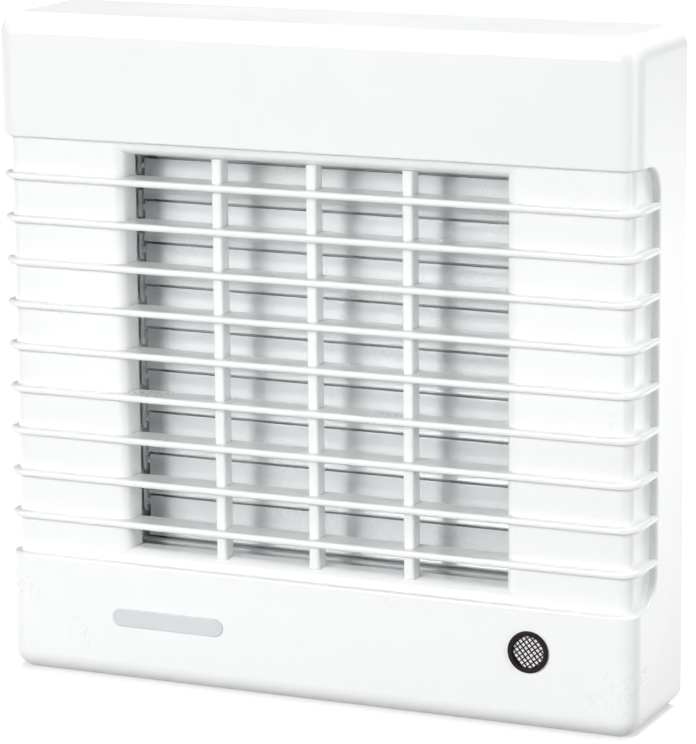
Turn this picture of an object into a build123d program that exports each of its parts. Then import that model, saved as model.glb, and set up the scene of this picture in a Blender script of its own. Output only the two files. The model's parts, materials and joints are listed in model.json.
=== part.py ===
from build123d import *
import os
from math import cos, radians, sin

# Wall-mounted axial extract fan with a motor-driven louvre shutter behind a slatted front cover.
# Millimetres. The wall plane is y = 0 and the duct axis is the Y axis: the room lies on the -Y
# side, the duct on the +Y side, and +Z is up.

# ---------------------------------------------------------------- front cover
COVER_W, COVER_H, COVER_D = 187.2, 186.0, 38.0
FRONT = -COVER_D
EDGE_R = 5.4            # rounding of the front edge
CORNER_R = 5.8          # rounding of the four corners, seen from the front
WALL = 2.3
BAND_H = 118.0          # height of the recessed band that carries the slats
BAND_STEP = 2.2         # depth of that band below the plain skin
BAND_BACK = FRONT + 17.5
BAND_R = 8.0            # corners of the band where it ends on the sides
STEP_R = 0.8            # rounding of the step down to the band
OPEN_W, OPEN_H = 112.0, 110.6
OPEN_BACK = FRONT + 10.0
FLARE = 3.6             # rounded lip of the opening
COLLAR = 2.0            # wall of the collar behind the opening
RIBS, RIB_PITCH, RIB_T, RIB_DEEP = 9, 12.0, 2.0, 8.5
MULLIONS, MULLION_PITCH, MULLION_T = 3, 28.0, 3.0
MULLION_FRONT, MULLION_BACK = FRONT + 2.8, FRONT + 7.2

# ---------------------------------------------------------------- sensor window and badge
SENSOR_X, SENSOR_Z = 63.8, -71.2
BEZEL_R, WINDOW_R = 5.75, 4.45
MESH_PITCH, MESH_HOLE, MESH_TURN = 1.18, 0.86, 39.5
BADGE_X, BADGE_Z, BADGE_W, BADGE_H = -43.5, -74.5, 34.0, 5.2

# ---------------------------------------------------------------- casing and spigot
TRAY_W, TRAY_H, TRAY_R = 181.8, 180.6, 4.5
PLATE_T = 2.5
RIM_FRONT, RIM_T = -16.0, 2.0
SPIGOT_R, BORE_R, SPIGOT_L = 62.0, 59.8, 78.0
FLANGE_R, FLANGE_T, NECK_R = 66.0, 1.2, 62.6
WALL_HOLE_X, WALL_HOLE_Z, WALL_HOLE_R = 83.0, 82.0, 2.3
CABLE_X, CABLE_Z = -69.4, -76.0
GROMMET_R, CABLE_R = 7.0, 3.9

# ---------------------------------------------------------------- shutter
BLADES, BLADE_T = 9, 1.2
BLADE_FRONT = FRONT + 19.0
PIVOT_Y = BLADE_FRONT + BLADE_T / 2
PIVOT_TOP = 50.3        # pivot height of the highest blade
PIVOT_DOWN = 1.8        # pivot below the blade's upper edge
SEAM = 0.75             # gap between neighbouring blades
PIN_R, FIT = 1.0, 0.07  # pivot pin and its running clearance
BLADE_X = 57.8          # half length of a blade
LIP_X = 55.0            # half length of the lip behind its lower edge
LUG_X, LUG_T = -59.5, 0.75
FRAME_X0, FRAME_X1, FRAME_Z = -60.3, 64.3, 60.3
FRAME_T, FRAME_FRONT = 2.0, -26.5
ARM, ARM_ANGLE = 6.0, -50.0
ARM_Y, ARM_Z = ARM * cos(radians(ARM_ANGLE)), ARM * sin(radians(ARM_ANGLE))
CRANK_PIN_R = 0.9
BAR_X0, BAR_X1 = 59.4, 60.9
DRIVE_Z = PIVOT_TOP - 4.5 * RIB_PITCH
DRIVE_X, DRIVE_R, DRIVE_L = 70.0, 12.5, 14.0

# ---------------------------------------------------------------- motor and impeller
MOTOR_R, MOTOR_FRONT, MOTOR_BACK = 25.0, 20.0, 56.0
SHAFT_R = 2.0
BEARING_R, BEARING_T = 6.5, 5.0
SPIDER_BACK, SPIDER_T = 62.5, 2.5
HUB_R, IMPELLER_R, IMPELLER_BLADES = 23.0, 56.2, 7
FAN_MID = 8.5           # middle of the impeller along the axis

# ---------------------------------------------------------------- electronics
BOARD_X0, BOARD_X1, BOARD_Z0, BOARD_Z1 = -10.0, 74.0, -88.0, -66.0
BOARD_BACK, BOARD_T = -10.0, 1.6
BOARD_FRONT = BOARD_BACK - BOARD_T
BOARD_SCREWS = [(-7.0, -85.0), (30.0, -69.0), (64.0, -85.6)]
LID_SCREWS = [(-14.6, -85.0), (-14.6, -66.5)]
CLAMP_X, CLAMP_SCREW_Z = -60.0, (-85.3, -66.7)
FRAME_SCREWS = [(-67.0, -50.0), (-67.0, 50.0), (71.0, -50.0), (71.0, 50.0)]
TRIMMERS = [(45.5, -82.5), (57.0, -82.5)]
MOTOR_SCREW_R = 17.0

os.makedirs("parts", exist_ok=True)


def at(y):
    """Plane parallel to the wall at depth y: local axes are X and Z, extrusion runs to the room."""
    return Plane.XZ.offset(-y)


def across(x):
    """Plane square to the blades at x: local axes are Y and Z, extrusion runs to +X."""
    return Plane.YZ.offset(x)


def save(builder, name):
    builder.part.label = name
    export_step(builder.part, f"parts/{name}.step")


def rounded_block(width, height, y_back, y_front, corner_r, edge_r):
    """Block with rounded corners, seen from the front, and a rounded front edge."""
    with BuildPart() as block:
        with BuildSketch(at(y_back)):
            RectangleRounded(width, height, corner_r)
        extrude(amount=y_back - y_front)
        fillet(block.faces().sort_by(Axis.Y)[0].edges(), edge_r)
    return block.part


def make_screw(head_r, head_h, shank_r, length):
    """Cross-head screw: the head's underside is at the origin, the shank runs along +Y."""
    with BuildPart() as screw:
        with BuildSketch(at(0)):
            Circle(head_r)
        extrude(amount=head_h)
        fillet(screw.faces().sort_by(Axis.Y)[0].edges(), head_h * 0.45)
        with BuildSketch(at(0)):
            Circle(shank_r)
        extrude(amount=-length)
        with BuildSketch(at(-head_h)):
            Rectangle(head_r * 1.1, head_r * 0.26)
            Rectangle(head_r * 0.26, head_r * 1.1)
        extrude(amount=-head_h * 0.6, mode=Mode.SUBTRACT)
    return screw.part


def make_lead(points, radius, bend):
    """Insulated lead along a run of straight lengths joined by tangent bends."""
    with BuildPart() as lead:
        with BuildLine() as run:
            FilletPolyline(*points, radius=bend)
        with BuildSketch(run.line ^ 0):
            Circle(radius)
        sweep()
    return lead.part


# ================================================================ front cover
# Cutter for the recessed band: everything outside a smaller prism, between two rounded ends.
with BuildPart() as band_cut:
    with BuildSketch(Plane.YZ) as band_side:
        with Locations(((FRONT + BAND_BACK - 5) / 2, 0)):
            Rectangle(BAND_BACK - FRONT + 5, BAND_H)
        fillet(band_side.vertices().sort_by(Axis.X)[-2:], BAND_R)
    extrude(amount=COVER_W, both=True)
    with BuildSketch(Plane.XY) as band_plan:
        with Locations((0, (FRONT + BAND_STEP + 5) / 2)):
            Rectangle(COVER_W - 2 * BAND_STEP, 5 - FRONT - BAND_STEP)
        fillet(band_plan.vertices().sort_by(Axis.Y)[:2], EDGE_R - BAND_STEP)
    extrude(amount=COVER_H, both=True, mode=Mode.SUBTRACT)

# One slat: it follows the skin round both sides and is deeper where it crosses the opening.
with BuildPart() as slat:
    with BuildSketch(Plane.XY.offset(-RIB_T / 2)) as slat_plan:
        with Locations((0, (FRONT + BAND_BACK + 1) / 2)):
            Rectangle(COVER_W, BAND_BACK + 1 - FRONT)
        fillet(slat_plan.vertices().sort_by(Axis.Y)[:2], EDGE_R)
        with Locations((0, (FRONT + BAND_STEP + BAND_BACK + 12) / 2)):
            Rectangle(COVER_W - 2 * BAND_STEP - 2, BAND_BACK + 10 - FRONT - BAND_STEP, mode=Mode.SUBTRACT)
    extrude(amount=RIB_T)
    skin_edges = [e for e in slat.edges().filter_by(Axis.Z, reverse=True)
                  if e.center().Y < FRONT + 0.1 or abs(e.center().X) > COVER_W / 2 - 2]
    fillet([e for e in skin_edges if abs(abs(e.center().Z) - RIB_T / 2) < 0.01
            and e.center().Y < BAND_BACK], 0.85)
    with BuildSketch(Plane.XY.offset(-RIB_T / 2)):
        with Locations((0, FRONT + (RIB_DEEP + 1.5) / 2)):
            Rectangle(OPEN_W + 2, RIB_DEEP - 1.5)
    extrude(amount=RIB_T)

with BuildPart() as front_cover:
    add(rounded_block(COVER_W, COVER_H, 0, FRONT, CORNER_R, EDGE_R))
    skin = front_cover.faces()
    add(band_cut.part, mode=Mode.SUBTRACT)
    fillet([e for e in front_cover.edges()
            if abs(e.center().Z) < BAND_H / 2 + 0.01 and e.center().Y < BAND_BACK + 0.01
            and min(face.distance_to(e @ 0.5) for face in skin) < 0.02], STEP_R)
    # hollow: the band, the plain strips above and below it, and the skirt behind the band
    add(rounded_block(COVER_W - 2 * (BAND_STEP + WALL), COVER_H - 2 * WALL, 0,
                      FRONT + BAND_STEP + WALL, CORNER_R - WALL, 1.0), mode=Mode.SUBTRACT)
    strip_low, strip_high = BAND_H / 2 + WALL, COVER_H / 2 - WALL
    for side in (-1, 1):
        with Locations((0, 0, side * (strip_low + strip_high) / 2)):
            add(rounded_block(COVER_W - 2 * WALL, strip_high - strip_low, 0, FRONT + WALL,
                              CORNER_R - WALL, EDGE_R - WALL), mode=Mode.SUBTRACT)
    with BuildSketch(at(0)):
        RectangleRounded(COVER_W - 2 * WALL, COVER_H - 2 * WALL, CORNER_R - WALL)
    extrude(amount=-BAND_BACK - WALL, mode=Mode.SUBTRACT)
    # collar round the air opening, then the opening with its flared lip
    with BuildSketch(at(OPEN_BACK)):
        Rectangle(OPEN_W + 2 * COLLAR, OPEN_H + 2 * COLLAR)
    extrude(amount=OPEN_BACK - FRONT - BAND_STEP - WALL / 2)
    with BuildSketch(at(OPEN_BACK)):
        Rectangle(OPEN_W, OPEN_H)
    extrude(amount=COVER_D, mode=Mode.SUBTRACT)
    lip = [e for e in front_cover.edges()
           if abs(e.center().Y - FRONT - BAND_STEP) < 0.01
           and max(abs(e.center().X) - OPEN_W / 2, abs(e.center().Z) - OPEN_H / 2) < 0.01]
    fillet(lip, FLARE)
    for i in range(RIBS):
        with Locations((0, 0, (i - (RIBS - 1) / 2) * RIB_PITCH)):
            add(slat.part)
    # mullions between the slats, with rounded front edges
    for i in range(MULLIONS):
        with BuildSketch(Plane.XY) as mullion_plan:
            with Locations(((i - (MULLIONS - 1) / 2) * MULLION_PITCH, (MULLION_FRONT + MULLION_BACK) / 2)):
                Rectangle(MULLION_T, MULLION_BACK - MULLION_FRONT)
            fillet(mullion_plan.vertices().group_by(Axis.Y)[0], 0.8)
        extrude(amount=OPEN_H / 2 + 0.2, both=True)
    # sensor window
    with BuildSketch(at(FRONT - 1)):
        with Locations((SENSOR_X, SENSOR_Z)):
            Circle(5.2)
    extrude(amount=-6, mode=Mode.SUBTRACT)
    # two pockets for the casing's latches in the top wall, and the screw recess underneath
    for x in (-50, 50):
        with Locations((x, -8.5, COVER_H / 2 - WALL + 0.6)):
            Box(12, 4.4, 1.2 + 0.01, mode=Mode.SUBTRACT)
    with BuildSketch(Plane.XY.offset(-COVER_H / 2)):
        with Locations((0, -5.8)):
            Circle(3.4)
    extrude(amount=1.3, mode=Mode.SUBTRACT)
    with BuildSketch(Plane.XY.offset(-COVER_H / 2)):
        with Locations((0, -5.8)):
            Circle(1.7)
    extrude(amount=4, mode=Mode.SUBTRACT)
save(front_cover, "front_cover")

# ================================================================ badge and sensor window
with BuildPart() as badge:
    with BuildSketch(at(FRONT)):
        with Locations((BADGE_X, BADGE_Z)):
            SlotOverall(BADGE_W, BADGE_H)
    extrude(amount=0.5)
    fillet(badge.faces().sort_by(Axis.Y)[0].edges(), 0.3)
save(badge, "badge")

with BuildPart() as sensor_bezel:
    with BuildSketch(at(FRONT)):
        with Locations((SENSOR_X, SENSOR_Z)):
            Circle(BEZEL_R)
            Circle(WINDOW_R, mode=Mode.SUBTRACT)
    extrude(amount=0.8)
    fillet(sensor_bezel.faces().sort_by(Axis.Y)[0].edges(), 0.35)
    # sleeve through the cover, with a snap lip behind the wall
    for y_back, y_front, radius in ((FRONT + 3.1, FRONT, 5.15), (FRONT + 3.1, FRONT + 2.45, 5.5)):
        with BuildSketch(at(y_back)):
            with Locations((SENSOR_X, SENSOR_Z)):
                Circle(radius)
                Circle(WINDOW_R, mode=Mode.SUBTRACT)
        extrude(amount=y_back - y_front)
    with BuildSketch(at(FRONT + 0.35)):
        with Locations((SENSOR_X, SENSOR_Z)):
            Circle(WINDOW_R + 0.2)
        with BuildSketch(mode=Mode.PRIVATE) as mesh_holes:
            with Locations(Location((SENSOR_X, SENSOR_Z, 0), (0, 0, MESH_TURN))):
                with GridLocations(MESH_PITCH, MESH_PITCH, 9, 9):
                    Rectangle(MESH_HOLE, MESH_HOLE)
        with BuildSketch(mode=Mode.PRIVATE) as mesh_field:
            with Locations((SENSOR_X, SENSOR_Z)):
                Circle(WINDOW_R)
        add((mesh_holes.sketch & mesh_field.sketch), mode=Mode.SUBTRACT)
    extrude(amount=0.25)
save(sensor_bezel, "sensor_bezel")

with BuildPart() as sensor_lens:
    with BuildSketch(at(FRONT + 1.6)):
        with Locations((SENSOR_X, SENSOR_Z)):
            Circle(WINDOW_R - 0.03)
    extrude(amount=1.25)
save(sensor_lens, "sensor_lens")

# ================================================================ casing
with BuildPart() as casing:
    with BuildSketch(at(0)):
        RectangleRounded(TRAY_W, TRAY_H, TRAY_R)
    extrude(amount=PLATE_T)
    with BuildSketch(at(-PLATE_T)):
        RectangleRounded(TRAY_W, TRAY_H, TRAY_R)
        RectangleRounded(TRAY_W - 2 * RIM_T, TRAY_H - 2 * RIM_T, TRAY_R - RIM_T, mode=Mode.SUBTRACT)
    extrude(amount=-RIM_FRONT - PLATE_T)
    # seat of the spigot: a hole and a rebate for its flange in the wall face
    with BuildSketch(at(0)):
        Circle(NECK_R + 0.05)
    extrude(amount=PLATE_T, mode=Mode.SUBTRACT)
    with BuildSketch(at(0)):
        Circle(FLANGE_R + 0.1)
    extrude(amount=FLANGE_T, mode=Mode.SUBTRACT)
    # bosses: wall screws, shutter frame, lid and board
    with BuildSketch(at(-PLATE_T)):
        with GridLocations(2 * WALL_HOLE_X, 2 * WALL_HOLE_Z, 2, 2):
            Circle(5.5)
    extrude(amount=2.5)
    for spots, radius, top in ((FRAME_SCREWS, 3.0, -5.5), (LID_SCREWS, 3.0, -8.0),
                               (BOARD_SCREWS, 2.6, BOARD_BACK),
                               ([(CLAMP_X, z) for z in CLAMP_SCREW_Z], 3.0, -7.0)):
        with BuildSketch(at(-PLATE_T)):
            with Locations(*spots):
                Circle(radius)
        extrude(amount=-PLATE_T - top)
        with BuildSketch(at(top)):
            with Locations(*spots):
                Circle(1.5 if spots is FRAME_SCREWS else 1.25)
        extrude(amount=top + 0.6, mode=Mode.SUBTRACT)
    with BuildSketch(at(0)):
        with GridLocations(2 * WALL_HOLE_X, 2 * WALL_HOLE_Z, 2, 2):
            Circle(WALL_HOLE_R)
        with Locations((CABLE_X, CABLE_Z)):
            Circle(GROMMET_R)
    extrude(amount=8, mode=Mode.SUBTRACT)
    # latches along the top, and the block that takes the cover screw
    for x in (-50, 50):
        with Locations((x, -8.5, TRAY_H / 2 + 0.5)):
            Box(10, 3.4, 1.4)
    with Locations((0, -5.8, -TRAY_H / 2 + 5)):
        Box(8, 6.8, 9)
    with BuildSketch(Plane.XY.offset(-TRAY_H / 2)):
        with Locations((0, -5.8)):
            Circle(1.4)
    extrude(amount=8.5, mode=Mode.SUBTRACT)
save(casing, "casing")

# Duct spigot: the tube, a neck through the casing's plate, and the flange let into its wall face.
with BuildPart() as spigot:
    with BuildSketch(at(SPIGOT_L)):
        Circle(SPIGOT_R)
    extrude(amount=SPIGOT_L)
    chamfer(spigot.faces().sort_by(Axis.Y)[-1].edges(), 0.8)
    for radius, length in ((FLANGE_R, FLANGE_T), (NECK_R, PLATE_T)):
        with BuildSketch(at(0)):
            Circle(radius)
        extrude(amount=length)
    with BuildSketch(at(SPIGOT_L)):
        Circle(BORE_R)
    extrude(amount=SPIGOT_L + PLATE_T, mode=Mode.SUBTRACT)
    mouth = spigot.edges().filter_by(GeomType.CIRCLE).filter_by(
        lambda e: abs(e.center().Y + PLATE_T) < 0.01 and abs(e.radius - BORE_R) < 0.01)
    fillet(mouth, 1.5)
save(spigot, "spigot")

# Carrier of the motor: a disc behind it and four struts that end on the spigot's bore.
with BuildPart() as motor_bracket:
    with BuildSketch(at(SPIDER_BACK)):
        with PolarLocations((MOTOR_R + 1 + BORE_R + 1) / 2, 4, 90):
            Rectangle(BORE_R - MOTOR_R, 2.6)
    extrude(amount=SPIDER_BACK - 48)
    with BuildSketch(at(SPIDER_BACK)):
        Circle(BORE_R)
    extrude(amount=SPIDER_BACK - 48, mode=Mode.INTERSECT)
    with BuildSketch(at(SPIDER_BACK)):
        Circle(MOTOR_R + 2)
    extrude(amount=SPIDER_T)
    with BuildSketch(at(SPIDER_BACK)):
        Circle(7)
        with PolarLocations(MOTOR_SCREW_R, 3, 90):
            Circle(1.7)
    extrude(amount=SPIDER_T, mode=Mode.SUBTRACT)
save(motor_bracket, "motor_bracket")

with BuildPart() as cable_grommet:
    with BuildSketch(at(0)):
        with Locations((CABLE_X, CABLE_Z)):
            Circle(GROMMET_R)
    extrude(amount=PLATE_T)
    with BuildSketch(at(-PLATE_T)):
        with Locations((CABLE_X, CABLE_Z)):
            Circle(GROMMET_R + 2)
    extrude(amount=3)
    fillet(cable_grommet.faces().sort_by(Axis.Y)[0].edges(), 1.2)
    with BuildSketch(at(0)):
        with Locations((CABLE_X, CABLE_Z)):
            Circle(CABLE_R)
    extrude(amount=8, mode=Mode.SUBTRACT)
save(cable_grommet, "cable_grommet")

with BuildPart() as cover_screw:
    add(make_screw(3.0, 1.3, 1.4, 9.0).rotate(Axis.X, 90).moved(Location((0, -5.8, -COVER_H / 2 + 1.3))))
save(cover_screw, "cover_screw")

# ================================================================ shutter frame
pivots = [PIVOT_TOP - i * RIB_PITCH for i in range(BLADES)]
blade_low = RIB_PITCH - SEAM - PIVOT_DOWN       # pivot to lower edge

with BuildPart() as shutter_frame:
    wide = FRAME_X1 - FRAME_X0
    middle = (FRAME_X0 + FRAME_X1) / 2
    with BuildSketch(at(-PLATE_T)):
        with Locations((middle, 0)):
            RectangleRounded(wide + 2 * FRAME_T, 2 * (FRAME_Z + FRAME_T), 2.5)
            Rectangle(wide, 2 * FRAME_Z, mode=Mode.SUBTRACT)
    extrude(amount=-PLATE_T - FRAME_FRONT)
    # shelf and plate above the blades; between the levers the shelf goes on to a hanging lip
    high, back = PIVOT_TOP + PIVOT_DOWN + 1.0, BLADE_FRONT + BLADE_T
    with BuildSketch(across(FRAME_X0 - 0.5)):
        Polygon((BLADE_FRONT - 2.2, high), (BLADE_FRONT + 0.3, high), (BLADE_FRONT + 0.3, high + 0.8),
                (BLADE_FRONT - 0.8, high + 0.8), (BLADE_FRONT - 0.8, FRAME_Z + 1),
                (BLADE_FRONT - 2.2, FRAME_Z + 1), align=None)
    extrude(amount=wide + 1)
    with BuildSketch(across(-LIP_X)):
        Polygon((BLADE_FRONT, high), (back + 1.4, high), (back + 1.4, high - 1.9), (back + 2.0, high - 1.9),
                (back + 2.0, high + 0.8), (BLADE_FRONT, high + 0.8), align=None)
    extrude(amount=2 * LIP_X)
    # sill and plate below the blades
    low = pivots[-1] - blade_low - SEAM
    with BuildSketch(across(FRAME_X0 - 0.5)):
        Polygon((BLADE_FRONT - 2.2, low - 0.7), (BLADE_FRONT - 0.25, low - 0.7),
                (BLADE_FRONT - 0.25, -FRAME_Z - 1), (back - 0.05, -FRAME_Z - 1), (back - 0.05, low),
                (BLADE_FRONT - 2.2, low), align=None)
    extrude(amount=wide + 1)
    # strip in front of the linkage on the right
    with BuildSketch(at(-22.4)):
        with Locations(((BLADE_X + 0.4 + FRAME_X1 + 0.5) / 2, 0)):
            Rectangle(FRAME_X1 + 0.5 - BLADE_X - 0.4, 2 * FRAME_Z + 1)
    extrude(amount=1.4)
    # bearing lugs on the left, each joined to the side wall behind its blade's upper edge
    with BuildSketch(across(LUG_X)):
        with Locations(*[(PIVOT_Y, z) for z in pivots]):
            Polygon((-1.4, 4.8), (-1.4, -1.9), (-0.6, -2.7), (4.6, -2.7), (4.6, 4.8), align=None)
    extrude(amount=LUG_T)
    with BuildSketch(across(FRAME_X0 - 0.3)):
        with Locations(*[(PIVOT_Y + 3.9, z + 1.0) for z in pivots]):
            Rectangle(1.4, 6.0)
    extrude(amount=LUG_X - FRAME_X0 + 0.4)
    # pivot holes in the lugs and in the right wall, the drive shaft hole and the drive posts
    with BuildSketch(across(LUG_X)):
        with Locations(*[(PIVOT_Y, z) for z in pivots]):
            Circle(PIN_R + FIT)
    extrude(amount=LUG_T, mode=Mode.SUBTRACT)
    with BuildSketch(across(FRAME_X1 + FRAME_T)):
        with Locations((PIVOT_Y, DRIVE_Z - 15.5), (PIVOT_Y, DRIVE_Z + 15.5)):
            Circle(3.0)
    extrude(amount=DRIVE_X - FRAME_X1 - FRAME_T)
    with BuildSketch(across(FRAME_X1 + 1.2)):
        with Locations((PIVOT_Y, DRIVE_Z - 15.5), (PIVOT_Y, DRIVE_Z + 15.5)):
            Circle(1.25)
    extrude(amount=10, mode=Mode.SUBTRACT)
    with BuildSketch(across(FRAME_X1 - 1)):
        with Locations(*[(PIVOT_Y, z) for z in pivots]):
            Circle(PIN_R + FIT)
        with Locations((PIVOT_Y, DRIVE_Z)):
            Circle(2.4)
    extrude(amount=4, mode=Mode.SUBTRACT)
    # notch for the motor lead, and four feet screwed to the casing
    with Locations((0, -6, -FRAME_Z - 1)):
        Box(5, 8, 4, mode=Mode.SUBTRACT)
    for x, z in FRAME_SCREWS:
        wall_x = FRAME_X0 - FRAME_T if x < 0 else FRAME_X1 + FRAME_T
        with BuildSketch(at(-5.5)):
            with Locations((x, z)):
                Circle(4)
            with Locations(((x + wall_x) / 2, z)):
                Rectangle(abs(x - wall_x) + 0.6, 8)
            with Locations((x, z)):
                Circle(1.6, mode=Mode.SUBTRACT)
        extrude(amount=2)
save(shutter_frame, "shutter_frame")


def make_blade(pivot_z):
    """One shutter blade, shut: it hangs from its pins and swings its lower edge to the duct."""
    top, low, back = pivot_z + PIVOT_DOWN, pivot_z - blade_low, BLADE_FRONT + BLADE_T
    with BuildPart() as blade:
        with BuildSketch(at(back)):
            Polygon((-BLADE_X, top), (-BLADE_X, low + 5.5), (-BLADE_X - 0.4, low + 5.1),
                    (-BLADE_X - 0.4, low), (BLADE_X, low), (BLADE_X, top), align=None)
        extrude(amount=BLADE_T)
        # front swell along the lower edge, and the lip that overlaps the next blade from behind
        with BuildSketch(across(-BLADE_X - 0.4)):
            Polygon((BLADE_FRONT + 0.1, low), (BLADE_FRONT + 0.1, low + 1.9), (BLADE_FRONT - 0.3, low + 0.4),
                    (BLADE_FRONT - 0.3, low), align=None)
        extrude(amount=2 * BLADE_X + 0.4)
        with BuildSketch(across(-LIP_X)):
            Polygon((back - 0.1, low), (back + 1.4, low), (back + 1.4, low - 1.8), (back + 2.0, low - 1.8),
                    (back + 2.0, low + 0.7), (back - 0.1, low + 0.7), align=None)
        extrude(amount=2 * LIP_X)
        # pivot pins
        with BuildSketch(across(LUG_X - 0.3)):
            with Locations((PIVOT_Y, pivot_z)):
                Circle(PIN_R)
        extrude(amount=-BLADE_X + 0.1 - LUG_X + 0.3)
        with BuildSketch(across(BLADE_X - 0.5)):
            with Locations((PIVOT_Y, pivot_z)):
                Circle(PIN_R)
        extrude(amount=FRAME_X1 + FRAME_T - 0.3 - BLADE_X + 0.5)
        # lever and crank pin
        with BuildSketch(across(BLADE_X - 1.4)):
            SlotCenterPoint((PIVOT_Y + ARM_Y / 2, pivot_z + ARM_Z / 2), (PIVOT_Y + ARM_Y, pivot_z + ARM_Z), 3.4)
        extrude(amount=1.4)
        with BuildSketch(across(BLADE_X - 0.2)):
            with Locations((PIVOT_Y + ARM_Y, pivot_z + ARM_Z)):
                Circle(CRANK_PIN_R)
        extrude(amount=BAR_X1 + 0.3 - BLADE_X + 0.2)
    return blade


for i, height in enumerate(pivots):
    save(make_blade(height), f"blade_{i + 1}")

with BuildPart() as tie_bar:
    bar_pins = [(PIVOT_Y + ARM_Y, z + ARM_Z) for z in pivots + [DRIVE_Z]]
    with BuildSketch(across(BAR_X0)):
        with Locations((PIVOT_Y + ARM_Y, (pivots[0] + pivots[-1]) / 2 + ARM_Z)):
            SlotCenterToCenter(pivots[0] - pivots[-1] + 1, 3.6, rotation=90)
        with Locations(*bar_pins):
            Circle(CRANK_PIN_R + FIT, mode=Mode.SUBTRACT)
    extrude(amount=BAR_X1 - BAR_X0)
save(tie_bar, "tie_bar")

# ================================================================ shutter drive
with BuildPart() as actuator_body:
    with BuildSketch(across(DRIVE_X)):
        with Locations((PIVOT_Y, DRIVE_Z)):
            Circle(DRIVE_R)
        with Locations((PIVOT_Y, DRIVE_Z)):
            SlotCenterToCenter(31, 7, rotation=90)
        with Locations((PIVOT_Y, DRIVE_Z - 15.5), (PIVOT_Y, DRIVE_Z + 15.5)):
            Circle(1.5, mode=Mode.SUBTRACT)
    extrude(amount=1.6)
    with BuildSketch(across(DRIVE_X + 1.6)):
        with Locations((PIVOT_Y, DRIVE_Z)):
            Circle(DRIVE_R)
    extrude(amount=DRIVE_L - 1.6)
    fillet(actuator_body.faces().sort_by(Axis.X)[-1].edges(), 1.0)
    with BuildSketch(across(DRIVE_X)):
        with Locations((PIVOT_Y, DRIVE_Z)):
            Circle(2.05)
    extrude(amount=5, mode=Mode.SUBTRACT)
    with Locations((77, PIVOT_Y, DRIVE_Z - DRIVE_R - 1.4)):
        Box(5, 6, 5)
save(actuator_body, "actuator_body")

with BuildPart() as actuator_shaft:
    with BuildSketch(across(61.7)):
        with Locations((PIVOT_Y, DRIVE_Z)):
            Circle(2.0)
    extrude(amount=DRIVE_X + 4.7 - 61.7)
save(actuator_shaft, "actuator_shaft")

with BuildPart() as actuator_crank:
    with BuildSketch(across(61.6)):
        with Locations((PIVOT_Y, DRIVE_Z)):
            Circle(3.4)
        SlotCenterPoint((PIVOT_Y + ARM_Y / 2, DRIVE_Z + ARM_Z / 2), (PIVOT_Y + ARM_Y, DRIVE_Z + ARM_Z), 3.6)
    extrude(amount=1.5)
    with BuildSketch(across(63.1)):
        with Locations((PIVOT_Y, DRIVE_Z)):
            Circle(3.4)
    extrude(amount=0.9)
    with BuildSketch(across(61.6)):
        with Locations((PIVOT_Y, DRIVE_Z)):
            Circle(2.0)
    extrude(amount=3, mode=Mode.SUBTRACT)
    with BuildSketch(across(BAR_X0 - 0.3)):
        with Locations((PIVOT_Y + ARM_Y, DRIVE_Z + ARM_Z)):
            Circle(CRANK_PIN_R)
    extrude(amount=61.7 - BAR_X0 + 0.3)
save(actuator_crank, "actuator_crank")

with BuildPart() as actuator_screws:
    for z in (DRIVE_Z - 15.5, DRIVE_Z + 15.5):
        add(make_screw(2.6, 1.6, 1.25, 5.6).rotate(Axis.Z, 90).moved(Location((DRIVE_X + 1.6, PIVOT_Y, z))))
save(actuator_screws, "actuator_screws")

# ================================================================ motor
with BuildPart() as motor_housing:
    with BuildSketch(at(MOTOR_BACK)):
        Circle(MOTOR_R)
    extrude(amount=MOTOR_BACK - MOTOR_FRONT)
    fillet(motor_housing.faces().sort_by(Axis.Y)[0].edges(), 2.0)
    with BuildSketch(at(MOTOR_BACK)):
        Circle(MOTOR_R - 1.8)
    extrude(amount=MOTOR_BACK - MOTOR_FRONT - 2, mode=Mode.SUBTRACT)
    with BuildSketch(at(MOTOR_FRONT + 1 + BEARING_T)):
        Circle(BEARING_R + 2)
    extrude(amount=BEARING_T)
    with BuildSketch(at(MOTOR_FRONT + 1 + BEARING_T)):
        Circle(BEARING_R)
    extrude(amount=BEARING_T, mode=Mode.SUBTRACT)
    with BuildSketch(at(MOTOR_FRONT + 2)):
        Circle(SHAFT_R + 1)
    extrude(amount=2, mode=Mode.SUBTRACT)
save(motor_housing, "motor_housing")

with BuildPart() as motor_cap:
    with BuildSketch(at(SPIDER_BACK - SPIDER_T)):
        Circle(MOTOR_R)
    extrude(amount=SPIDER_BACK - SPIDER_T - MOTOR_BACK)
    with BuildSketch(at(MOTOR_BACK)):
        Circle(MOTOR_R - 1.9)
        Circle(MOTOR_R - 3.6, mode=Mode.SUBTRACT)
        Circle(BEARING_R + 2)
    extrude(amount=2.5)
    with BuildSketch(at(MOTOR_BACK + 1.5)):
        Circle(BEARING_R)
    extrude(amount=6, mode=Mode.SUBTRACT)
    with BuildSketch(at(SPIDER_BACK - SPIDER_T)):
        with PolarLocations(MOTOR_SCREW_R, 3, 90):
            Circle(1.5)
    extrude(amount=3.5, mode=Mode.SUBTRACT)
save(motor_cap, "motor_cap")

BEARINGS = {"bearing_front": MOTOR_FRONT + 1 + BEARING_T, "bearing_rear": MOTOR_BACK + 1.5}
for name, back in BEARINGS.items():
    with BuildPart() as bearing:
        with BuildSketch(at(back)):
            Circle(BEARING_R)
            Circle(SHAFT_R + 0.05, mode=Mode.SUBTRACT)
        extrude(amount=BEARING_T)
        for depth in (back, back - BEARING_T + 0.5):
            with BuildSketch(at(depth)):
                Circle(BEARING_R - 1.2)
                Circle(SHAFT_R + 1.2, mode=Mode.SUBTRACT)
            extrude(amount=0.5, mode=Mode.SUBTRACT)
    save(bearing, name)

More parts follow.
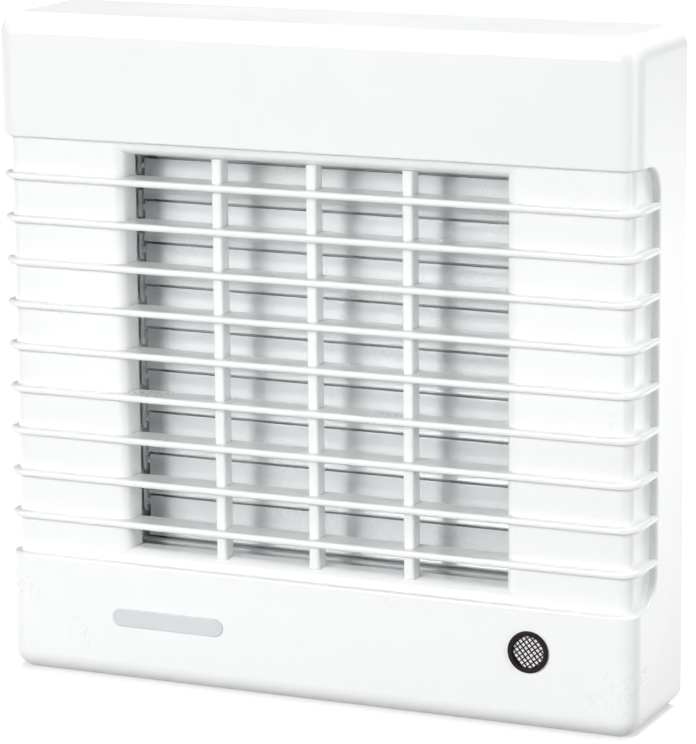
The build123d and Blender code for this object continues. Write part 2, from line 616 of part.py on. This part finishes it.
with BuildPart() as stator_core:
    with BuildSketch(at(48)):
        Circle(MOTOR_R - 1.8)
        Circle(20.2, mode=Mode.SUBTRACT)
        with PolarLocations(16.8, 4, 45):
            Rectangle(8.0, 8)
        with BuildSketch(mode=Mode.PRIVATE) as shoes:
            with PolarLocations(13.6, 4, 45):
                Rectangle(2.6, 15)
        add(shoes.sketch)
        Circle(12.5, mode=Mode.SUBTRACT)
    extrude(amount=18)
save(stator_core, "stator_core")

with BuildPart() as stator_windings:
    for i in range(4):
        with Locations(Location((0, 39, 0), (0, 45 + 90 * i, 0))):
            with Locations((16.9, 0, 0)):
                Box(3.4, 23.0, 13.6)
                Box(3.6, 18.3, 8.3, mode=Mode.SUBTRACT)
save(stator_windings, "stator_windings")

with BuildPart() as rotor:
    with BuildSketch(at(48)):
        Circle(12.1)
    extrude(amount=18)
    with BuildSketch(at(50)):
        Circle(11.2)
    extrude(amount=22)
    with BuildSketch(at(50)):
        Circle(SHAFT_R)
    extrude(amount=22, mode=Mode.SUBTRACT)
save(rotor, "rotor")

with BuildPart() as motor_shaft:
    with BuildSketch(at(MOTOR_BACK + 1)):
        Circle(SHAFT_R)
    extrude(amount=MOTOR_BACK + 1 + 4.4)
    chamfer(motor_shaft.edges(), 0.3)
save(motor_shaft, "motor_shaft")

with BuildPart() as motor_screws:
    for i in range(3):
        angle = radians(90 + 120 * i)
        spot = Location((MOTOR_SCREW_R * cos(angle), SPIDER_BACK, MOTOR_SCREW_R * sin(angle)))
        add(make_screw(2.9, 1.8, 1.5, 5.8).rotate(Axis.X, 180).moved(spot))
save(motor_screws, "motor_screws")

# ================================================================ impeller
with BuildPart() as fan_blade:
    for radius, chord, pitch in ((19.5, 21.0, 47.0), (38.0, 25.0, 33.0), (58.0, 29.0, 24.0)):
        section = Plane(origin=(radius, FAN_MID, 0), x_dir=(0, sin(radians(pitch)), cos(radians(pitch))),
                        z_dir=(1, 0, 0))
        with BuildSketch(section):
            Ellipse(chord / 2, 0.9)
    loft()
    with BuildSketch(at(40)):
        Circle(IMPELLER_R)
        Circle(HUB_R - 1.5, mode=Mode.SUBTRACT)
    extrude(amount=80, mode=Mode.INTERSECT)

with BuildPart() as impeller:
    with BuildSketch(at(17)):
        Circle(HUB_R)
    extrude(amount=18)
    fillet(impeller.faces().sort_by(Axis.Y)[0].edges(), 3.0)
    with BuildSketch(at(17)):
        Circle(HUB_R - 2)
    extrude(amount=15.8, mode=Mode.SUBTRACT)
    with BuildSketch(at(15)):
        Circle(5.5)
    extrude(amount=14.5)
    for i in range(IMPELLER_BLADES):
        add(fan_blade.part.rotate(Axis.Y, 360 / IMPELLER_BLADES * i))
    with BuildSketch(at(20)):
        Circle(SHAFT_R)
    extrude(amount=30, mode=Mode.SUBTRACT)
save(impeller, "impeller")

with BuildPart() as impeller_nut:
    with BuildSketch(at(-1)):
        RegularPolygon(4.0, 6)
    extrude(amount=3.0)
    with BuildSketch(at(-1)):
        Circle(SHAFT_R)
    extrude(amount=5, mode=Mode.SUBTRACT)
save(impeller_nut, "impeller_nut")

# ================================================================ terminals and cable clamp
with BuildPart() as terminal_block:
    with Locations((-37, -PLATE_T - 7.5, -77)):
        Box(30, 15, 14)
    chamfer(terminal_block.edges().filter_by(Axis.X).group_by(Axis.Y)[0], 1.5)
    for x in (-47, -37, -27):
        with BuildSketch(at(-PLATE_T - 15)):
            with Locations((x, -80.2), (x, -73.8)):
                Circle(2.2)
        extrude(amount=-6, mode=Mode.SUBTRACT)
        with BuildSketch(Plane.XY.offset(-84)):
            with Locations((x, -8)):
                Circle(1.9)
        extrude(amount=14, mode=Mode.SUBTRACT)
save(terminal_block, "terminal_block")

with BuildPart() as terminal_screws:
    for x in (-47, -37, -27):
        for z in (-80.2, -73.8):
            add(make_screw(2.0, 1.4, 1.4, 1.4).moved(Location((x, -13.2, z))))
save(terminal_screws, "terminal_screws")

with BuildPart() as cable_clamp:
    with BuildSketch(Plane.YZ.offset(CLAMP_X - 3)):
        with Locations((-8.2, sum(CLAMP_SCREW_Z) / 2)):
            Rectangle(2.4, CLAMP_SCREW_Z[1] - CLAMP_SCREW_Z[0] + 6.0)
            Circle(6.4)
        with Locations((-7.0, sum(CLAMP_SCREW_Z) / 2)):
            Circle(4.4, mode=Mode.SUBTRACT)
        with Locations((-3.5, sum(CLAMP_SCREW_Z) / 2)):
            Rectangle(7, 30, mode=Mode.SUBTRACT)
    extrude(amount=6)
    with BuildSketch(at(0)):
        with Locations(*[(CLAMP_X, z) for z in CLAMP_SCREW_Z]):
            Circle(1.4)
    extrude(amount=20, mode=Mode.SUBTRACT)
save(cable_clamp, "cable_clamp")

with BuildPart() as clamp_screws:
    for z in CLAMP_SCREW_Z:
        add(make_screw(2.5, 1.6, 1.25, 7.4).moved(Location((CLAMP_X, -9.4, z))))
save(clamp_screws, "clamp_screws")

with BuildPart() as terminal_lid:
    with Locations((-37, -PLATE_T - 9.8, -75.6)):
        Box(38, 19.6, 24.6)
    fillet(terminal_lid.faces().sort_by(Axis.Y)[0].edges(), 1.5)
    with Locations((-37, -PLATE_T - 9.0, -75.6)):
        Box(34.8, 18.0, 21.4, mode=Mode.SUBTRACT)
    for x, z in LID_SCREWS:
        with BuildSketch(at(-8)):
            with Locations((x - 1.5, z)):
                Rectangle(9, 6)
            with Locations((x, z)):
                Circle(1.4, mode=Mode.SUBTRACT)
        extrude(amount=2)
    with Locations((-18.8, -10, -77)):
        Box(4, 17, 4, mode=Mode.SUBTRACT)
    with Locations((-55.2, -7, -76)):
        Box(4, 10, 10, mode=Mode.SUBTRACT)
save(terminal_lid, "terminal_lid")

with BuildPart() as lid_screws:
    for x, z in LID_SCREWS:
        add(make_screw(2.5, 1.6, 1.25, 8.4).moved(Location((x, -10, z))))
save(lid_screws, "lid_screws")

# ================================================================ control board
HEADERS = [(-4.0, -77.0), (0.0, -71.0), (50.0, -71.2), (71.0, -82.0)]
with BuildPart() as control_board:
    with BuildSketch(at(BOARD_BACK)):
        with Locations(((BOARD_X0 + BOARD_X1) / 2, (BOARD_Z0 + BOARD_Z1) / 2)):
            RectangleRounded(BOARD_X1 - BOARD_X0, BOARD_Z1 - BOARD_Z0, 1.0)
        with Locations(*BOARD_SCREWS):
            Circle(1.4, mode=Mode.SUBTRACT)
    extrude(amount=BOARD_T)
save(control_board, "control_board")

with BuildPart() as board_screws:
    for x, z in BOARD_SCREWS:
        add(make_screw(2.4, 1.6, 1.25, 8.0).moved(Location((x, BOARD_FRONT, z))))
save(board_screws, "board_screws")

with BuildPart() as board_headers:
    for x, z in HEADERS:
        with Locations((x, BOARD_FRONT - 1.5, z)):
            Box(5, 3, 5)
save(board_headers, "board_headers")

with BuildPart() as capacitor:
    with Locations((14, BOARD_FRONT - 6, -77)):
        Box(14, 12, 8)
    fillet(capacitor.edges().filter_by(Axis.Y), 0.8)
save(capacitor, "capacitor")

with BuildPart() as relay:
    with Locations((31, BOARD_FRONT - 5.5, -80)):
        Box(15, 11, 10)
    chamfer(relay.faces().sort_by(Axis.Y)[0].edges(), 0.6)
save(relay, "relay")

with BuildPart() as trimmer_bodies:
    for x, z in TRIMMERS:
        with Locations((x, BOARD_FRONT - 2.5, z)):
            Box(9, 5, 9)
        with BuildSketch(at(BOARD_FRONT - 5)):
            with Locations((x, z)):
                Circle(1.56)
        extrude(amount=-3, mode=Mode.SUBTRACT)
save(trimmer_bodies, "trimmer_bodies")

for name, (x, z) in zip(("trimmer_knob_time", "trimmer_knob_level"), TRIMMERS):
    with BuildPart() as knob:
        with BuildSketch(at(BOARD_FRONT - 5.4)):
            with Locations((x, z)):
                Circle(3.2)
        extrude(amount=2.0)
        with BuildSketch(at(BOARD_FRONT - 5.4)):
            with Locations((x, z)):
                Circle(1.5)
        extrude(amount=-3.0)
        with Locations((x, BOARD_FRONT - 7.4, z)):
            Box(4.6, 2.0, 0.9, mode=Mode.SUBTRACT)
    save(knob, name)

with BuildPart() as sensor_holder:
    with BuildSketch(at(BOARD_FRONT)):
        with Locations((SENSOR_X, SENSOR_Z)):
            Circle(6.5)
            Circle(5.2, mode=Mode.SUBTRACT)
    extrude(amount=17.8)
save(sensor_holder, "sensor_holder")

with BuildPart() as sensor_board:
    with BuildSketch(at(BOARD_FRONT - 17.8)):
        with Locations((SENSOR_X, SENSOR_Z)):
            Circle(8.5)
    extrude(amount=1.6)
save(sensor_board, "sensor_board")

with BuildPart() as sensor_detector:
    with BuildSketch(at(BOARD_FRONT - 19.4)):
        with Locations((SENSOR_X, SENSOR_Z)):
            Circle(4.2)
    extrude(amount=3.2)
    fillet(sensor_detector.faces().sort_by(Axis.Y)[0].edges(), 0.6)
save(sensor_detector, "sensor_detector")

with BuildPart() as shutter_screws:
    for x, z in FRAME_SCREWS:
        add(make_screw(3.0, 1.8, 1.5, 6.6).moved(Location((x, -7.5, z))))
save(shutter_screws, "shutter_screws")

# ================================================================ leads inside the casing
header_top = BOARD_FRONT - 3.0
with BuildPart() as motor_lead:
    add(make_lead([(0, 45.5, -MOTOR_R), (0, 45.5, -58.5), (0, -7, -58.5), (0, -7, -64.4),
                   (0, -18, -64.4), (0, -18, -71), (0, header_top, -71)], 1.0, 2.5))
save(motor_lead, "motor_lead")

with BuildPart() as actuator_lead:
    foot = DRIVE_Z - DRIVE_R - 3.9
    add(make_lead([(77, PIVOT_Y, foot), (77, PIVOT_Y, -82), (71, PIVOT_Y, -82), (71, header_top, -82)],
                  1.0, 2.5))
save(actuator_lead, "actuator_lead")

with BuildPart() as sensor_lead:
    add(make_lead([(56.4, BOARD_FRONT - 17.8, SENSOR_Z), (56.4, -22, SENSOR_Z), (50, -22, SENSOR_Z),
                   (50, header_top, SENSOR_Z)], 0.9, 2.5))
save(sensor_lead, "sensor_lead")

with BuildPart() as mains_lead:
    add(make_lead([(-22, -10.5, -77), (-14, -10.5, -77), (-14, -18, -77), (-4, -18, -77),
                   (-4, header_top, -77)], 1.1, 2.5))
save(mains_lead, "mains_lead")
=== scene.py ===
import json
import math

import bpy
from mathutils import Matrix, Vector


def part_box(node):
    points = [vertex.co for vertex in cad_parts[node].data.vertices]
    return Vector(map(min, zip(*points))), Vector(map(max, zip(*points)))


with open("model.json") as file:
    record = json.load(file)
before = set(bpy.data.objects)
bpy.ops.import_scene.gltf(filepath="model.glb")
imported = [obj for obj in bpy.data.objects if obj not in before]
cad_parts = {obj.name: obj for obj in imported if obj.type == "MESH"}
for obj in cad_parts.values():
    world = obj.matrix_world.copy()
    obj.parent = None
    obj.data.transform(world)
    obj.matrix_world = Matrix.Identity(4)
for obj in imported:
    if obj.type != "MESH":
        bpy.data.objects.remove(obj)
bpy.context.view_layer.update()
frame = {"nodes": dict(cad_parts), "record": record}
nodes = frame["nodes"]
scene = bpy.context.scene

MM = 0.001
cover_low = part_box("front_cover")[0]
FRONT = cover_low[1]
FLOOR = cover_low[2]

# Camera: direction from which it looks at the cover, the point it looks at, and how far off it is.
AZIMUTH, ELEVATION, ROLL = math.radians(24.11), math.radians(11.83), math.radians(-0.43)
TARGET = Vector((11.9 * MM, FRONT, 0.8 * MM))
DISTANCE = 1.0168
LENS, SENSOR_WIDTH = 183.95, 36

# Floor: side of each half, where the halves meet in front of the cover, and its own glow, which is painted
# light on the floor, weaker near the cover as painted shade.
FLOOR_SIZE, FLOOR_SEAM = 8.0, -0.17
GLOW_NEAR, GLOW_FAR = 0.28, 0.72
GLOW_START, GLOW_END = 0.16, 0.60


# ---------------------------------------------------------------- camera
def make_camera():
    """Long lens a little to the right of the cover and above it."""
    back = Vector((math.sin(AZIMUTH) * math.cos(ELEVATION), -math.cos(AZIMUTH) * math.cos(ELEVATION),
                   math.sin(ELEVATION)))
    right = Vector((math.cos(AZIMUTH), math.sin(AZIMUTH), 0))
    up = back.cross(right)
    right, up = (right * math.cos(ROLL) + up * math.sin(ROLL),
                 up * math.cos(ROLL) - right * math.sin(ROLL))
    data = bpy.data.cameras.new("camera")
    data.sensor_width = SENSOR_WIDTH
    data.lens = LENS
    data.clip_start, data.clip_end = 0.05, 20
    camera = bpy.data.objects.new("camera", data)
    scene.collection.objects.link(camera)
    turn = Matrix((right, up, back)).transposed().to_4x4()
    camera.matrix_world = Matrix.Translation(TARGET + back * DISTANCE) @ turn
    scene.camera = camera


# ---------------------------------------------------------------- light and floor
def area_light(name, place, aim, size, power):
    """Rectangular soft light, turned towards a point and not seen by the camera."""
    data = bpy.data.lights.new(name, "AREA")
    data.shape = "RECTANGLE"
    data.size, data.size_y = size
    data.energy = power
    light = bpy.data.objects.new(name, data)
    light.location = place
    light.visible_camera = False
    light.rotation_euler = (Vector(aim) - Vector(place)).to_track_quat("-Z", "Y").to_euler()
    scene.collection.objects.link(light)


def make_world():
    """Even white surroundings."""
    world = bpy.data.worlds.new("studio")
    world.use_nodes = True
    world.node_tree.nodes["Background"].inputs["Color"].default_value = (1.0, 1.0, 1.0, 1)
    world.node_tree.nodes["Background"].inputs["Strength"].default_value = 0.18
    scene.world = world


def make_lights():
    """Soft studio light from the left, the right, above and low in front."""
    # key on the left in two parts, narrow and broad: the mullions throw soft upright shadows
    area_light("key", (-0.40, -1.34, 0.47), (0, 0, 0), (0.30, 0.58), 9.2)
    area_light("key_side", (-0.68, -1.28, 0.39), (0, 0, 0), (0.62, 0.45), 7.2)
    # broad fill on the right for the side wall and the slat ends, and a weak one behind it
    area_light("fill", (1.35, -0.42, 0.22), (0, 0, 0), (0.8, 0.9), 8.2)
    area_light("back", (1.2, 0.5, 0.3), (0, 0, 0), (0.8, 0.9), 1.8)
    # overhead light behind the front edge, for the top
    area_light("top", (0.05, 0.40, 1.2), (0, 0.1, 0), (1.6, 0.8), 26.0)
    # low white card in front, for the bottom strip and the undersides
    area_light("card", (0, -0.34, -0.055), (0, 0, -0.07), (0.5, 0.06), 0.18)


def make_floor():
    """Floor in two halves; the front half neither mirrors in the cover nor shades it."""
    paper = painted_glow_paper("floor_paper")
    half = FLOOR_SIZE / 2
    halves = (("floor", FLOOR_SEAM + half, True), ("floor_front", FLOOR_SEAM - half, False))
    for name, middle, mirrors in halves:
        bpy.ops.mesh.primitive_plane_add(size=1, location=(0, middle, FLOOR))
        floor = bpy.context.object
        floor.scale = (FLOOR_SIZE, FLOOR_SIZE, 1)
        floor.name = name
        floor.visible_diffuse = False
        floor.visible_glossy = floor.visible_shadow = mirrors
        floor.data.materials.append(paper)


# ---------------------------------------------------------------- materials
def shader(name):
    """New node material: the material, its tree and its Principled shader."""
    material = bpy.data.materials.new(name)
    material.use_nodes = True
    tree = material.node_tree
    return material, tree, tree.nodes["Principled BSDF"]


def noise(tree, scale, detail=3.0, stretch=(1, 1, 1)):
    """Noise over the object's own coordinates, in metres; stretch squeezes it along an axis."""
    coords = tree.nodes.new("ShaderNodeTexCoord")
    mapping = tree.nodes.new("ShaderNodeMapping")
    mapping.inputs["Scale"].default_value = stretch
    texture = tree.nodes.new("ShaderNodeTexNoise")
    texture.inputs["Scale"].default_value = scale
    texture.inputs["Detail"].default_value = detail
    tree.links.new(coords.outputs["Object"], mapping.inputs["Vector"])
    tree.links.new(mapping.outputs["Vector"], texture.inputs["Vector"])
    return texture.outputs["Fac"]


def ramp(tree, value, low, high, start=0.3, end=0.7):
    """Colours from low to high as value goes from start to end."""
    node = tree.nodes.new("ShaderNodeValToRGB")
    node.color_ramp.elements[0].position, node.color_ramp.elements[1].position = start, end
    node.color_ramp.elements[0].color = (*low, 1)
    node.color_ramp.elements[1].color = (*high, 1)
    tree.links.new(value, node.inputs["Fac"])
    return node.outputs["Color"]


def spread(tree, value, low, high):
    """Values from low to high as a noise value goes through its usual range."""
    node = tree.nodes.new("ShaderNodeMapRange")
    node.inputs["From Min"].default_value, node.inputs["From Max"].default_value = 0.3, 0.7
    node.inputs["To Min"].default_value, node.inputs["To Max"].default_value = low, high
    tree.links.new(value, node.inputs["Value"])
    return node.outputs["Result"]


def bump(tree, shade, value, strength, distance):
    """Surface relief of the given depth, in metres."""
    node = tree.nodes.new("ShaderNodeBump")
    node.inputs["Strength"].default_value = strength
    node.inputs["Distance"].default_value = distance
    tree.links.new(value, node.inputs["Height"])
    tree.links.new(node.outputs["Normal"], shade.inputs["Normal"])


def plain(name, colour, rough, vary, scale, bump_mm, coat=0.0, metallic=0.0, stretch=(1, 1, 1), gloss=0.5):
    """Moulded or cast finish: slow colour drift, handled patches, uneven gloss and a fine grain."""
    material, tree, shade = shader(name)
    drift = noise(tree, scale * 0.12, 2.0)
    tree.links.new(ramp(tree, drift, [c * (1 - vary) for c in colour],
                        [min(1.0, c * (1 + vary)) for c in colour]), shade.inputs["Base Color"])
    fine = noise(tree, scale, 2.0, stretch)
    patches = noise(tree, scale * 0.04, 3.0)
    gloss_map = tree.nodes.new("ShaderNodeMath")
    gloss_map.operation = "MULTIPLY"
    tree.links.new(spread(tree, fine, rough * 0.97, min(1.0, rough * 1.03)), gloss_map.inputs[0])
    tree.links.new(spread(tree, patches, 0.92, 1.12), gloss_map.inputs[1])
    tree.links.new(gloss_map.outputs["Value"], shade.inputs["Roughness"])
    shade.inputs["Metallic"].default_value = metallic
    shade.inputs["Specular IOR Level"].default_value = gloss
    shade.inputs["Coat Weight"].default_value = coat
    shade.inputs["Coat Roughness"].default_value = 0.08
    bump(tree, shade, noise(tree, scale * 0.35, 1.0, stretch), 0.25, bump_mm * MM)
    return material


def painted_glow_paper(name):
    """White paper floor with its own glow: painted light, weaker near the object as painted shade, where
    its soft cast shadow shows.
    """
    material, tree, shade = shader(name)
    drift = noise(tree, 6, 2.0)
    tree.links.new(ramp(tree, drift, (0.92, 0.92, 0.92), (0.94, 0.94, 0.94)), shade.inputs["Base Color"])
    shade.inputs["Roughness"].default_value = 0.9
    shade.inputs["Specular IOR Level"].default_value = 0.1
    shade.inputs["Emission Color"].default_value = (1, 1, 1, 1)
    place = tree.nodes.new("ShaderNodeNewGeometry")
    away = tree.nodes.new("ShaderNodeVectorMath")
    away.operation = "LENGTH"
    tree.links.new(place.outputs["Position"], away.inputs[0])
    # painted shade: the floor glows less near the cover than far from it
    glow = tree.nodes.new("ShaderNodeMapRange")
    glow.inputs["From Min"].default_value, glow.inputs["From Max"].default_value = GLOW_START, GLOW_END
    glow.inputs["To Min"].default_value, glow.inputs["To Max"].default_value = GLOW_NEAR, GLOW_FAR
    tree.links.new(away.outputs["Value"], glow.inputs["Value"])
    tree.links.new(glow.outputs["Result"], shade.inputs["Emission Strength"])
    return material


def wound_wire(name, colour):
    """Rows of enamelled wire."""
    material, tree, shade = shader(name)
    coords = tree.nodes.new("ShaderNodeTexCoord")
    wave = tree.nodes.new("ShaderNodeTexWave")
    wave.bands_direction = "Y"
    wave.inputs["Scale"].default_value = 420
    wave.inputs["Distortion"].default_value = 0.6
    tree.links.new(coords.outputs["Object"], wave.inputs["Vector"])
    tree.links.new(ramp(tree, wave.outputs["Fac"], [c * 0.35 for c in colour], colour, 0.1, 0.8),
                   shade.inputs["Base Color"])
    shade.inputs["Metallic"].default_value = 0.85
    shade.inputs["Roughness"].default_value = 0.32
    bump(tree, shade, wave.outputs["Fac"], 0.8, 0.2 * MM)
    return material


def circuit_board(name):
    """Green solder mask over copper tracks."""
    material, tree, shade = shader(name)
    coords = tree.nodes.new("ShaderNodeTexCoord")
    brick = tree.nodes.new("ShaderNodeTexBrick")
    brick.inputs["Scale"].default_value = 160
    brick.inputs["Mortar Size"].default_value = 0.03
    brick.inputs["Color1"].default_value = (0.015, 0.16, 0.06, 1)
    brick.inputs["Color2"].default_value = (0.02, 0.20, 0.08, 1)
    brick.inputs["Mortar"].default_value = (0.05, 0.30, 0.12, 1)
    swap = tree.nodes.new("ShaderNodeMapping")
    swap.inputs["Rotation"].default_value = (math.pi / 2, 0, 0)
    tree.links.new(coords.outputs["Object"], swap.inputs["Vector"])
    tree.links.new(swap.outputs["Vector"], brick.inputs["Vector"])
    tree.links.new(brick.outputs["Color"], shade.inputs["Base Color"])
    fine = noise(tree, 700)
    tree.links.new(spread(tree, fine, 0.28, 0.42), shade.inputs["Roughness"])
    bump(tree, shade, brick.outputs["Fac"], 0.4, 0.04 * MM)
    return material


def make_finishes():
    """One material for each of the record's slots."""
    return {
        "cover_white": plain("abs_gloss_white", (0.86, 0.875, 0.87), 0.30, 0.006, 900, 0.004, coat=0.35),
        "blade_white": plain("blade_gloss_white", (0.73, 0.755, 0.765), 0.26, 0.008, 900, 0.004, coat=0.3),
        "frame_white": plain("frame_satin_white", (0.80, 0.81, 0.82), 0.36, 0.01, 900, 0.006),
        "casing_white": plain("casing_satin_white", (0.80, 0.81, 0.81), 0.42, 0.012, 800, 0.01),
        "linkage_white": plain("acetal_white", (0.78, 0.79, 0.78), 0.45, 0.012, 900, 0.006),
        "badge_grey": plain("badge_silver_grey", (0.62, 0.65, 0.67), 0.32, 0.02, 1200, 0.004, coat=0.4),
        "bezel_dark": plain("bezel_black_brown", (0.010, 0.005, 0.005), 0.42, 0.15, 1100, 0.01, gloss=0.15),
        "lens_white": plain("lens_milky", (0.95, 0.94, 0.93), 0.30, 0.01, 700, 0.004),
        "rubber_grey": plain("rubber_black", (0.030, 0.030, 0.030), 0.70, 0.12, 900, 0.03),
        "screw_steel": plain("zinc_plated", (0.62, 0.63, 0.66), 0.30, 0.06, 1500, 0.01, metallic=1.0),
        "shaft_steel": plain("ground_steel", (0.58, 0.59, 0.61), 0.22, 0.04, 1400, 0.006, metallic=1.0,
                             stretch=(1, 14, 1)),
        "bearing_steel": plain("bearing_steel", (0.66, 0.67, 0.69), 0.16, 0.03, 1200, 0.004, metallic=1.0),
        "lamination_steel": plain("laminations", (0.30, 0.31, 0.33), 0.45, 0.10, 900, 0.05, metallic=0.8,
                                  stretch=(0.05, 3, 0.05)),
        "winding_copper": wound_wire("copper_winding", (0.66, 0.27, 0.11)),
        "rotor_aluminium": plain("cast_rotor", (0.60, 0.61, 0.63), 0.48, 0.05, 700, 0.05, metallic=0.9),
        "motor_grey": plain("motor_paint", (0.30, 0.32, 0.34), 0.42, 0.05, 1000, 0.03, metallic=0.3),
        "impeller_grey": plain("impeller_grey", (0.66, 0.69, 0.70), 0.34, 0.02, 800, 0.01, coat=0.1),
        "nut_brass": plain("brass", (0.76, 0.56, 0.25), 0.28, 0.06, 1300, 0.01, metallic=1.0),
        "terminal_grey": plain("polyamide_grey", (0.72, 0.72, 0.69), 0.46, 0.02, 900, 0.02),
        "actuator_black": plain("black_plastic", (0.030, 0.030, 0.034), 0.42, 0.12, 1100, 0.02),
        "board_green": circuit_board("board_green"),
        "header_white": plain("header_cream", (0.78, 0.75, 0.64), 0.44, 0.02, 900, 0.01),
        "capacitor_yellow": plain("capacitor_yellow", (0.78, 0.50, 0.05), 0.38, 0.04, 900, 0.02),
        "relay_black": plain("relay_black", (0.025, 0.025, 0.028), 0.33, 0.12, 1000, 0.01),
        "trimmer_blue": plain("trimmer_blue", (0.03, 0.11, 0.42), 0.36, 0.06, 1000, 0.01),
        "knob_white": plain("knob_white", (0.80, 0.80, 0.77), 0.40, 0.02, 1000, 0.01),
        "detector_metal": plain("nickel_can", (0.66, 0.65, 0.62), 0.24, 0.04, 1200, 0.008, metallic=1.0),
        "lead_grey": plain("lead_sleeve", (0.20, 0.20, 0.22), 0.52, 0.06, 1000, 0.02),
    }


def dress(finishes):
    """Gives every CAD node the finish of its slot."""
    for entry in frame["record"]["subparts"]:
        piece = nodes[entry["node"]]
        piece.data.materials.clear()
        piece.data.materials.append(finishes[entry["material_slot"]])


make_camera()
scene.view_settings.view_transform = "Standard"
make_world()
make_lights()
make_floor()
dress(make_finishes())
